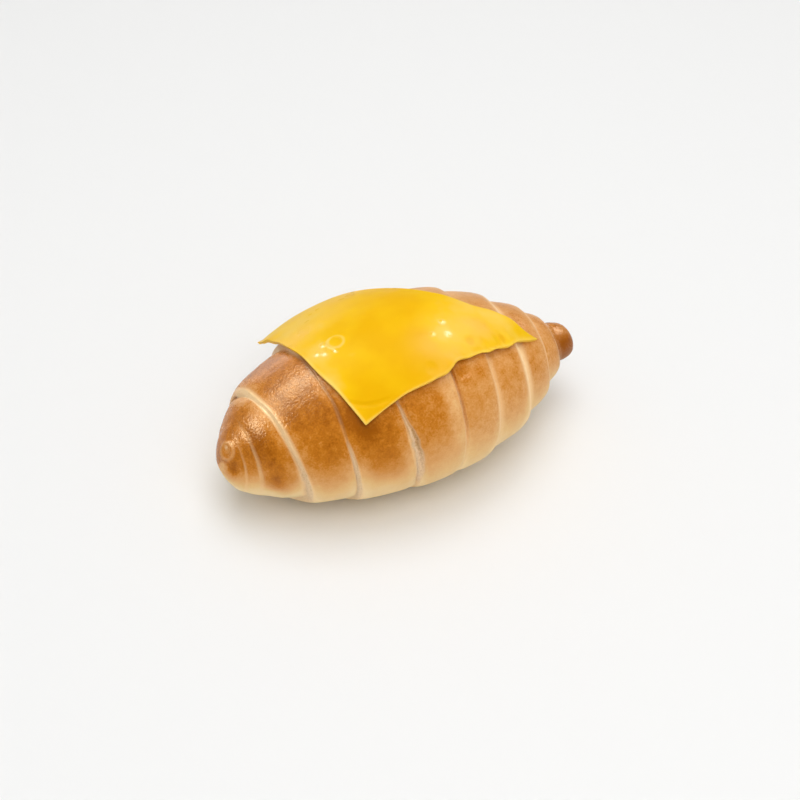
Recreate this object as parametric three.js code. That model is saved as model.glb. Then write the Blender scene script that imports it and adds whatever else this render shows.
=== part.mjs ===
// A salt bread roll with a slice of cheese draped over it.
// Millimetres, +Z up. X runs along the roll and -Y is its front. The origin is the middle of the flat base.
import * as THREE from "three";

const { clamp, degToRad, lerp, smoothstep } = THREE.MathUtils;

// Size of the bread roll
const rollLength = 151;
const rollWidth = 83;
const rollHeight = 62.5;
const middleRoundness = 0.8; // height over width of the roll's section at its middle
const endRoundness = 0.92; // the same at its two ends
const noseHeight = 23.5; // centre of the left end above the base
const tailHeight = 24.5; // centre of the right end above the base
const endDroop = 2; // how late the roll's axis leaves its middle height on the way to an end
const noseTaper = 0.66; // a half is full below 1, and a parabola at 1
const tailTaper = 1.02;
const tailKnob = { length: 9, radius: 8.8 }; // blunt knob at the right end

// Seams of the rolled strip from left to right: where each crosses the roll's crest,
// and how far along the roll it would lean in one full turn towards the front.
const seams = [
  { crest: -68.7, lean: -1 },
  { crest: -65.6, lean: 1 },
  { crest: -56.7, lean: 21 },
  { crest: -39.4, lean: 19 },
  { crest: -17.7, lean: 21 },
  { crest: 8.4, lean: -7 },
  { crest: 26.2, lean: -7 },
  { crest: 43.5, lean: -7 },
  { crest: 57, lean: -5 },
  { crest: 65, lean: 0 },
];
const grooveDepth = 1.3; // depth of a seam below its band, on a wide band
const wideBand = 16; // a band this wide has the full groove
const ownGirth = 0.36; // how far a band keeps the girth of its own middle, which makes the steps
const seamTurn = 0.34; // turn, each way from the crest, where the seams start to run back under the roll

// Slice of cheese, square at its left and narrower at its back, as its right edge runs in
const sliceDepth = 84;
const sliceFront = 84;
const sliceBack = 32;
const edgeCurve = 0.72; // below 1 the right edge is a little hollow
const sliceThickness = 1.4;
const sliceCentre = { x: 2.4, y: 15 };
const sliceTurn = degToRad(10.6);
const sliceGap = 0.6; // between the slice and the roll, where they touch
const bendRadius = 48; // the slice bends no tighter than this under its own weight
const flap = { heading: degToRad(144), spread: degToRad(94), bendRadius: 72 }; // stiffer to the left back
const stride = 1; // step of the walk that lays the slice on the roll
// The front edge is crinkled on its right.
const ripple = { height: 0.9, length: 7.5, depth: 10, from: 0.42, to: 0.97, rise: 0.12 };
const frontTip = { reach: 9, lift: 1 }; // the two left corners stand off a little more
const backTip = { reach: 7, lift: 1.4 };

// Facets
const sectionSides = 56;
const bandStep = 3.6; // largest distance between rings along a band
const sliceCells = 26;

const halfLength = rollLength / 2;
const halfWidth = rollWidth / 2;
const bandEnds = [{ crest: -halfLength, lean: 0 }, ...seams, { crest: halfLength, lean: 0 }];
const bandCount = bandEnds.length - 1;

// Half width of the roll's smooth outline at x.
function outlineHalfWidth(x) {
  const share = clamp(x / halfLength, -1, 1);
  const taper = x < 0 ? noseTaper : tailTaper;
  const spindle = halfWidth * (1 - share * share) ** taper;
  const intoKnob = clamp((x - halfLength) / tailKnob.length + 1, 0, 1);
  const knob = x > 0 ? tailKnob.radius * Math.sqrt(1 - intoKnob * intoKnob) : 0;
  return Math.max(spindle, knob);
}

// Half height over half width at x: the ends are rounder than the middle.
function roundness(x) {
  return lerp(middleRoundness, endRoundness, Math.abs(x / halfLength) ** 3);
}

// Height of the section's centre at x.
function axisHeight(x) {
  const middle = rollHeight - middleRoundness * halfWidth;
  const end = x < 0 ? noseHeight : tailHeight;
  return lerp(middle, end, Math.abs(x / halfLength) ** endDroop);
}

// Place along the roll of a point of the strip: turn counts bands from the left end, and around
// runs from -0.5 to 0.5 of a turn, from under the back over the crest to under the front.
function placeAlong(turn, around) {
  const band = clamp(Math.floor(turn), 0, bandCount - 1);
  const within = turn - band;
  const crest = lerp(bandEnds[band].crest, bandEnds[band + 1].crest, within);
  const lean = lerp(bandEnds[band].lean, bandEnds[band + 1].lean, within);
  return crest + lean * around * (1 - smoothstep(Math.abs(around), seamTurn, 0.5));
}

// Height of one band's surface over the smooth outline, crowned between its two seams.
function bandRelief(band, turn, around) {
  const ownMiddle = outlineHalfWidth(placeAlong(band + 0.5, around));
  const here = outlineHalfWidth(placeAlong(turn, around));
  const width = bandEnds[band + 1].crest - bandEnds[band].crest;
  const depth = grooveDepth * Math.min(1, width / wideBand);
  const fromMiddle = Math.abs(2 * (turn - band) - 1);
  return ownGirth * (ownMiddle - here) - depth * fromMiddle ** 4;
}

// A seam lies at the lower of the two bands that meet there.
function relief(turn, around) {
  const band = Math.floor(turn);
  if (turn > band) {
    return bandRelief(band, turn, around);
  }
  return Math.min(bandRelief(band - 1, turn, around), bandRelief(band, turn, around));
}

function rollPoint(turn, around) {
  const x = placeAlong(turn, around);
  const angle = 2 * Math.PI * around;
  const half = Math.max(outlineHalfWidth(x) + relief(turn, around), 0);
  const y = -half * Math.sin(angle);
  const z = axisHeight(x) + half * roundness(x) * Math.cos(angle);
  return new THREE.Vector3(x, y, Math.max(z, 0));
}

// Rings of the roll, close together beside the seams and wider apart on the bands.
function ringTurns() {
  const turns = [];
  for (let band = 0; band < bandCount; band += 1) {
    const width = bandEnds[band + 1].crest - bandEnds[band].crest;
    const steps = Math.max(3, Math.ceil(width / bandStep));
    for (let step = 0; step < steps; step += 1) {
      turns.push(band + (1 - Math.cos((Math.PI * step) / steps)) / 2);
    }
  }
  return turns.slice(1);
}

function solid(points, triangles) {
  const geometry = new THREE.BufferGeometry().setFromPoints(points);
  geometry.setIndex(triangles);
  geometry.computeVertexNormals();
  return geometry;
}

function breadRoll() {
  const turns = ringTurns();
  const points = [];
  for (const turn of turns) {
    for (let side = 0; side < sectionSides; side += 1) {
      points.push(rollPoint(turn, side / sectionSides - 0.5));
    }
  }
  const nose = points.push(new THREE.Vector3(-halfLength, 0, noseHeight)) - 1;
  const tail = points.push(new THREE.Vector3(halfLength, 0, tailHeight)) - 1;
  const lastRing = (turns.length - 1) * sectionSides;
  const triangles = [];
  for (let side = 0; side < sectionSides; side += 1) {
    const next = (side + 1) % sectionSides;
    triangles.push(nose, next, side, tail, lastRing + side, lastRing + next);
    for (let ring = 0; ring < lastRing; ring += sectionSides) {
      const [a, b] = [ring + side, ring + next];
      const [c, d] = [a + sectionSides, b + sectionSides];
      triangles.push(a, b, c, b, d, c);
    }
  }
  return solid(points, triangles);
}

// Distance from the roll's axis to a point, measured as a half width of the section.
function girth(point) {
  return Math.hypot(point.y, (point.z - axisHeight(point.x)) / roundness(point.x));
}

// Moves a point straight out from the axis to the given half width.
function setGirth(point, half) {
  const share = half / girth(point);
  const centre = axisHeight(point.x);
  point.set(point.x, point.y * share, centre + (point.z - centre) * share);
}

// Half width of the banded roll beside a point.
function bandedHalfWidth(point) {
  const around = Math.atan2(-point.y, (point.z - axisHeight(point.x)) / roundness(point.x)) / (2 * Math.PI);
  let band = 0;
  while (band < bandCount - 1 && point.x > placeAlong(band + 1, around)) {
    band += 1;
  }
  const from = placeAlong(band, around);
  const within = (point.x - from) / (placeAlong(band + 1, around) - from);
  return outlineHalfWidth(point.x) + bandRelief(band, band + clamp(within, 0, 1), around);
}

function onSkin(x, y) {
  const point = new THREE.Vector3(x, y, rollHeight);
  const half = outlineHalfWidth(x) + sliceGap;
  point.z = axisHeight(x) + roundness(x) * Math.sqrt(half * half - y * y);
  return point;
}

// The slice's middle and the two directions in which it lies there.
function sliceSeat() {
  const middle = onSkin(sliceCentre.x, sliceCentre.y);
  const along = onSkin(sliceCentre.x + 0.1, sliceCentre.y).sub(middle).normalize();
  const across = onSkin(sliceCentre.x, sliceCentre.y + 0.1).sub(middle);
  across.addScaledVector(along, -across.dot(along)).normalize();
  return { middle, along, across };
}

// How much a strip with this heading bends down for each millimetre.
function bendOf(heading) {
  const off = Math.min(Math.acos(Math.cos(heading - flap.heading)) / flap.spread, 1);
  return lerp(1 / flap.bendRadius, 1 / bendRadius, Math.sin((off * Math.PI) / 2) ** 2);
}

// Walks a strip of the slice out from its middle. The strip bends down as far as its stiffness lets it,
// and follows the roll where the roll is in its way.
function walkStrip(seat, angle, length) {
  const place = seat.middle.clone();
  const heading = new THREE.Vector3();
  heading.addScaledVector(seat.along, Math.cos(angle)).addScaledVector(seat.across, Math.sin(angle));
  const steps = Math.max(1, Math.round(length / stride));
  const step = length / steps;
  for (let count = 0; count < steps; count += 1) {
    const down = new THREE.Vector3(0, 0, -1).addScaledVector(heading, heading.z);
    heading.addScaledVector(down, step * bendOf(angle)).normalize();
    const next = place.clone().addScaledVector(heading, step);
    const skin = outlineHalfWidth(next.x) + sliceGap;
    if (girth(next) < skin) {
      setGirth(next, skin);
      heading.copy(next).sub(place).normalize();
    }
    place.copy(next);
  }
  return place;
}

function fade(distance, reach) {
  return 1 - smoothstep(distance, 0, reach);
}

// Lift of the slice away from the roll: its crinkled front edge and its loose corners.
function sliceLift(u, v) {
  const fromFrontTip = Math.hypot(u, v) * sliceDepth;
  const fromBackTip = Math.hypot(u, 1 - v) * sliceDepth;
  const starts = smoothstep(u, ripple.from, ripple.from + ripple.rise);
  const ends = smoothstep(u, ripple.to - ripple.rise, ripple.to);
  const wave = 0.5 - 0.5 * Math.cos((2 * Math.PI * u * sliceFront) / ripple.length);
  const edge = ripple.height * wave * starts * (1 - ends) * fade(v * sliceDepth, ripple.depth);
  const front = frontTip.lift * fade(fromFrontTip, frontTip.reach);
  const back = backTip.lift * fade(fromBackTip, backTip.reach);
  return edge + front + back;
}

// Underside of the slice: u runs along its front edge from the left, v from its front edge to its back.
function slicePoint(u, v) {
  const p = u * lerp(sliceFront, sliceBack, clamp(v, 0, 1) ** edgeCurve) - sliceFront / 2;
  const q = (v - 0.5) * sliceDepth;
  const point = walkStrip(sliceSeat(), Math.atan2(q, p) + sliceTurn, Math.hypot(p, q));
  setGirth(point, girth(point) + sliceLift(u, v));
  setGirth(point, Math.max(girth(point), bandedHalfWidth(point) + sliceGap));
  return point;
}

function sliceNormal(u, v) {
  const small = 1e-3;
  const alongEdge = slicePoint(u + small, v).sub(slicePoint(u - small, v));
  const acrossEdge = slicePoint(u, v + small).sub(slicePoint(u, v - small));
  return alongEdge.cross(acrossEdge).normalize();
}

function cheeseSlice() {
  const row = sliceCells + 1;
  const layer = row * row;
  const under = [];
  const over = [];
  for (let j = 0; j < row; j += 1) {
    for (let i = 0; i < row; i += 1) {
      const [u, v] = [i / sliceCells, j / sliceCells];
      const point = slicePoint(u, v);
      under.push(point);
      over.push(point.clone().addScaledVector(sliceNormal(u, v), sliceThickness));
    }
  }
  const triangles = [];
  for (let j = 0; j < sliceCells; j += 1) {
    for (let i = 0; i < sliceCells; i += 1) {
      const a = j * row + i;
      const [b, c, d] = [a + 1, a + row, a + row + 1];
      triangles.push(a, c, b, b, c, d);
      triangles.push(layer + a, layer + b, layer + c, layer + b, layer + d, layer + c);
    }
  }
  for (let k = 0; k < sliceCells; k += 1) {
    const rim = [
      [k, k + 1],
      [k * row + sliceCells, (k + 1) * row + sliceCells],
      [sliceCells * row + k + 1, sliceCells * row + k],
      [(k + 1) * row, k * row],
    ];
    for (const [a, b] of rim) {
      triangles.push(a, b, layer + a, b, layer + b, layer + a);
    }
  }
  return solid([...under, ...over], triangles);
}

function piece(name, geometry, finish) {
  const mesh = new THREE.Mesh(geometry, new THREE.MeshStandardMaterial(finish));
  mesh.name = name;
  return mesh;
}

const group = new THREE.Group();
group.add(piece("bread_roll", breadRoll(), { color: 0xc98f4e, roughness: 0.55, metalness: 0 }));
group.add(piece("cheese_slice", cheeseSlice(), { color: 0xf6bb2b, roughness: 0.35, metalness: 0 }));

export default group;
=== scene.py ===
import math
from functools import partial

import bmesh
import bpy
from mathutils import Matrix, Vector, noise


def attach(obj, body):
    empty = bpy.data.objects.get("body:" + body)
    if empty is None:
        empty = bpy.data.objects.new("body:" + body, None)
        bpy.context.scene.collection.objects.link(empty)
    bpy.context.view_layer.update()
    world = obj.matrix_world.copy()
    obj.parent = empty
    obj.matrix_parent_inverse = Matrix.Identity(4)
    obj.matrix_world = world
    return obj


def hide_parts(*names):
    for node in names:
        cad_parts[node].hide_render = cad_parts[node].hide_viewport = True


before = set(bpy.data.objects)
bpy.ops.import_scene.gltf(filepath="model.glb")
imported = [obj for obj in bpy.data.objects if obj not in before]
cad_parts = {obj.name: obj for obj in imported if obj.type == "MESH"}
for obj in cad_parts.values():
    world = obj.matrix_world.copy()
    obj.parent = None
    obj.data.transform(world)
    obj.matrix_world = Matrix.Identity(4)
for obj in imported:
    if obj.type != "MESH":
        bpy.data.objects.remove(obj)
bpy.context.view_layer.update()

mm = 0.001  # sizes below are in millimetres
softly = {"interpolation_type": "SMOOTHSTEP"}  # for ranges that ease in and out
levelShare = 0.1  # part of a bump's reach that is level
print("frame loaded, nodes:", sorted(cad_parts))


def linearColour(hexText):  # sRGB hex to the linear colour that sockets take
    parts = [int(hexText[at:at + 2], 16) / 255 for at in (1, 3, 5)]
    return tuple(c / 12.92 if c <= 0.04045 else ((c + 0.055) / 1.055) ** 2.4 for c in parts) + (1.0,)


def addNode(tree, kind, links=(), **settings):  # a node, what it is set to and what feeds it
    node = tree.nodes.new(kind)
    for name, value in settings.items():
        if name == "stops":
            ramp = node.color_ramp.elements
            while len(ramp) < len(value):
                ramp.new(1.0)
            for element, (place, hexText) in zip(ramp, value):
                element.position = place
                element.color = linearColour(hexText)
        else:
            setattr(node, name, value)
    for key, value in (links.items() if isinstance(links, dict) else enumerate(links)):
        if isinstance(value, bpy.types.Node):
            value = value.outputs[0]
        if isinstance(value, bpy.types.NodeSocket):
            tree.links.new(value, node.inputs[key])
        elif value is not None:
            node.inputs[key].default_value = value
    return node


def newTree(name, sizes, result):  # a node group whose sizes are named inputs
    tree = bpy.data.node_groups.new(name, "GeometryNodeTree")
    tree.interface.new_socket(result, in_out="OUTPUT", socket_type="NodeSocket" + result)
    if result == "Geometry":
        tree.interface.new_socket("Geometry", in_out="INPUT", socket_type="NodeSocketGeometry")
    for size, value in sizes.items():
        tree.interface.new_socket(size, in_out="INPUT", socket_type="NodeSocketFloat").default_value = value
    return tree


def makePlain(piece, tree, sizes):  # runs the tree on the piece and keeps the result as its mesh
    modifier = piece.modifiers.new(tree.name, "NODES")
    modifier.node_group = tree
    for socket in tree.interface.items_tree:
        if socket.in_out == "INPUT" and socket.name in sizes:
            modifier[socket.identifier] = float(sizes[socket.name])
    graph = bpy.context.evaluated_depsgraph_get()
    ready = piece.evaluated_get(graph)
    mesh = bpy.data.meshes.new_from_object(ready, preserve_all_data_layers=True, depsgraph=graph)
    mesh.name = piece.name
    piece.modifiers.clear()
    piece.data = mesh
    print(piece.name, len(mesh.vertices), "vertices", len(mesh.polygons), "faces")


def addObject(name, data):  # an object in the scene
    piece = bpy.data.objects.new(name, data)
    bpy.context.scene.collection.objects.link(piece)
    return piece


def newMaterial(name, values):  # a material, its nodes and its shader with plain values set
    material = bpy.data.materials.new(name)
    material.use_nodes = True
    shader = material.node_tree.nodes["Principled BSDF"]
    for socket, value in values.items():
        shader.inputs[socket].default_value = value
    return material, material.node_tree, shader


def closeTree(tree, geometry, material):  # smooth shading, plain mesh and material, then out
    smooth = addNode(tree, "GeometryNodeSetShadeSmooth", {"Geometry": geometry, "Shade Smooth": True})
    real = addNode(tree, "GeometryNodeRealizeInstances", {"Geometry": smooth})
    dressed = addNode(tree, "GeometryNodeSetMaterial", {"Geometry": real, "Material": material})
    addNode(tree, "NodeGroupOutput", (dressed,))
    return tree


def softRelief(tree, here, given, kind):  # soft unevenness from -1 to 1, as coarse as the named size
    scale = addNode(tree, "ShaderNodeMath", (1 / mm, given[kind + " Size"]), operation="DIVIDE")
    feed = {"Vector": here, "W": given["Seed"], "Scale": scale, "Detail": 1.0}
    cloud = addNode(tree, "ShaderNodeTexNoise", feed, noise_dimensions="4D")
    return addNode(tree, "ShaderNodeMath", (cloud, 2.0, -1.0), operation="MULTIPLY_ADD")


def addBumps(tree, here, height, bumps):  # adds domes and rings of a height round given places
    for place, ring, reach, tall in bumps:
        spot = tuple(value * mm for value in place)
        off = addNode(tree, "ShaderNodeVectorMath", {0: here, 1: spot}, operation="DISTANCE").outputs["Value"]
        past = addNode(tree, "ShaderNodeMath", (off, ring * mm), operation="SUBTRACT")
        fromRing = addNode(tree, "ShaderNodeMath", (past,), operation="ABSOLUTE")
        span = (levelShare * reach * mm, reach * mm)
        bump = addNode(tree, "ShaderNodeMapRange", (fromRing, *span, tall, 0.0), **softly)
        height = addNode(tree, "ShaderNodeMath", (height, bump), operation="ADD")
    return height


# crust: baked milk dough, egg-washed; brown satin skin on top, matt and creamy low down and in the seams
crustLook = {
    "bake": [(0.0, "#f8dba6"), (0.25, "#ecc283"), (0.45, "#e2a869"), (0.65, "#d28d42"), (0.8, "#c27419"),
             (1.0, "#9f5602")],
    "seam": "#fad6a2", "crumb": "#f6d8b2", "crumbShade": "#b98e5c", "knob": "#8f4700", "glaze": "#ffe6b5",
    "lowFrom": 0.16, "lowTo": 0.37,  # turns from the crest between which the browning runs out
    "leftBakeAndShade": 0.87, "rightBakeAndLight": 0.67,  # the left end is darker than the right one: partly baked darker, partly painted shade, as the light falls more on the right
    "bakeFrom": 4.4, "bakeTo": 6.4,  # bands between which that changes
    "patchSize": 22.0, "mottleSize": 2.6, "grainSize": 0.7, "pebbleHeight": 0.07,
    "pebbleSize": 1.1,  # drawn twice as coarse as the real grain, which is finer than a pixel
    "patchBake": 0.2, "grainBake": -0.17, "mottleBake": 0.2,  # how far each pattern shifts the browning
    "patchLow": 0.05, "seamUneven": 0.5, "fleckRun": (-0.4, 0.4), "crumbFlecks": (-0.15, 0.35),
    "knobFrom": 9.7, "knobTo": 10.4, "knobShare": 0.9,
    "knobTop": 0.3, "knobTopRun": (0.03, 0.16),  # the knob is paler on its top
    "roughPale": 0.55, "roughBrown": 0.27, "satinRun": (0.2, 0.75), "knobPolish": -0.08,
    "gloss": 0.26, "sheen": 0.12, "sheenRough": 0.5,
}


def crustMaterial(look, paleMarksAndGlint):
    material, tree, shader = newMaterial("baked_milk_dough_crust", {
        "Specular IOR Level": look["gloss"], "Specular Tint": linearColour(look["glaze"]),
        "Sheen Weight": look["sheen"], "Sheen Roughness": look["sheenRough"],
        "Sheen Tint": linearColour(look["crumb"]),
    })
    add = partial(addNode, tree)
    place = add("ShaderNodeTexCoord").outputs["Object"]
    read = {}
    for name in ("low", "turn", "seam", "torn", "hollow", "tone"):
        read[name] = add("ShaderNodeAttribute", attribute_name=name).outputs["Fac"]
    pattern = {}
    for name, detail in (("patch", 2.0), ("mottle", 3.0), ("grain", 2.0)):
        scale = 1 / (look[name + "Size"] * mm)
        cloud = add("ShaderNodeTexNoise", {"Vector": place, "Scale": scale, "Detail": detail})
        pattern[name] = add("ShaderNodeMath", (cloud, 2.0, -1.0), operation="MULTIPLY_ADD")
    # browning runs out towards the underside, patchily
    low = add("ShaderNodeMath", (pattern["patch"], look["patchLow"], read["low"]), operation="MULTIPLY_ADD")
    browned = add("ShaderNodeMapRange", (low, look["lowFrom"], look["lowTo"], 1.0, 0.0), **softly)
    # darker towards the left end: partly baked, partly painted shade
    span = (look["bakeFrom"], look["bakeTo"], look["leftBakeAndShade"], look["rightBakeAndLight"])
    bake = add("ShaderNodeMapRange", (read["turn"], *span))
    for name in ("patch", "grain", "mottle"):
        bake = add("ShaderNodeMath", (pattern[name], look[name + "Bake"], bake), operation="MULTIPLY_ADD")
    # tone holds the skin's own darker and paler patches, painted shade by the slice and in creases, and
    # painted light on the back top
    bake = add("ShaderNodeMath", (bake, browned, read["tone"]), operation="MULTIPLY_ADD")
    skin = add("ShaderNodeValToRGB", (bake,), stops=look["bake"])
    # the knob at the right end is the darkest
    span = (look["knobFrom"], look["knobTo"], 0.0, look["knobShare"])
    knobby = add("ShaderNodeMapRange", (read["turn"], *span), **softly)
    knobSide = add("ShaderNodeMapRange", (read["low"], *look["knobTopRun"], look["knobTop"], 1.0), **softly)
    knobDark = add("ShaderNodeMath", (knobby, knobSide), operation="MULTIPLY")
    # seams stay pale, unevenly
    blotches = add("ShaderNodeMath", (pattern["mottle"], look["seamUneven"], 1.0), operation="MULTIPLY_ADD")
    # the nose's paler ring, and a painted glint as a pale bead
    markAndGlintShare = addBumps(tree, place, 0.0, paleMarksAndGlint)
    seamOrMark = add("ShaderNodeMath", (read["seam"], markAndGlintShare), operation="MAXIMUM")
    seam = add("ShaderNodeMath", (seamOrMark, blotches), operation="MULTIPLY", use_clamp=True)
    # torn crumb shows at the bottom of a split, with painted shade deeper in its hollow
    flecks = add("ShaderNodeMapRange", (pattern["grain"], *look["fleckRun"], *look["crumbFlecks"]))
    crumbDark = add("ShaderNodeMath", (read["hollow"], flecks), operation="ADD", use_clamp=True)
    crumbEnds = (linearColour(look["crumb"]), linearColour(look["crumbShade"]))
    crumb = add("ShaderNodeMix", {0: crumbDark, 6: crumbEnds[0], 7: crumbEnds[1]}, data_type="RGBA")
    layers = [(knobDark, linearColour(look["knob"])), (seam, linearColour(look["seam"]))]
    layers.append((read["torn"], crumb.outputs[2]))
    colour = skin
    for share, over in layers:
        colour = add("ShaderNodeMix", {0: share, 6: colour, 7: over}, data_type="RGBA").outputs[2]
    tree.links.new(colour, shader.inputs["Base Color"])
    satin = add("ShaderNodeMapRange", (bake, *look["satinRun"], look["roughPale"], look["roughBrown"]))
    rough = add("ShaderNodeMath", (knobby, look["knobPolish"], satin), operation="MULTIPLY_ADD")
    tree.links.new(rough.outputs[0], shader.inputs["Roughness"])
    scale = 1 / (look["pebbleSize"] * mm)
    cells = add("ShaderNodeTexVoronoi", {"Vector": place, "Scale": scale}, feature="SMOOTH_F1")
    dome = add("ShaderNodeMath", (cells, 2.0), operation="POWER")
    pebbles = add("ShaderNodeMath", (dome, -1.0, pattern["grain"]), operation="MULTIPLY_ADD")
    relief = {"Height": pebbles, "Strength": 1.0, "Distance": look["pebbleHeight"] * mm}
    tree.links.new(add("ShaderNodeBump", relief).outputs[0], shader.inputs["Normal"])
    return material


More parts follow.
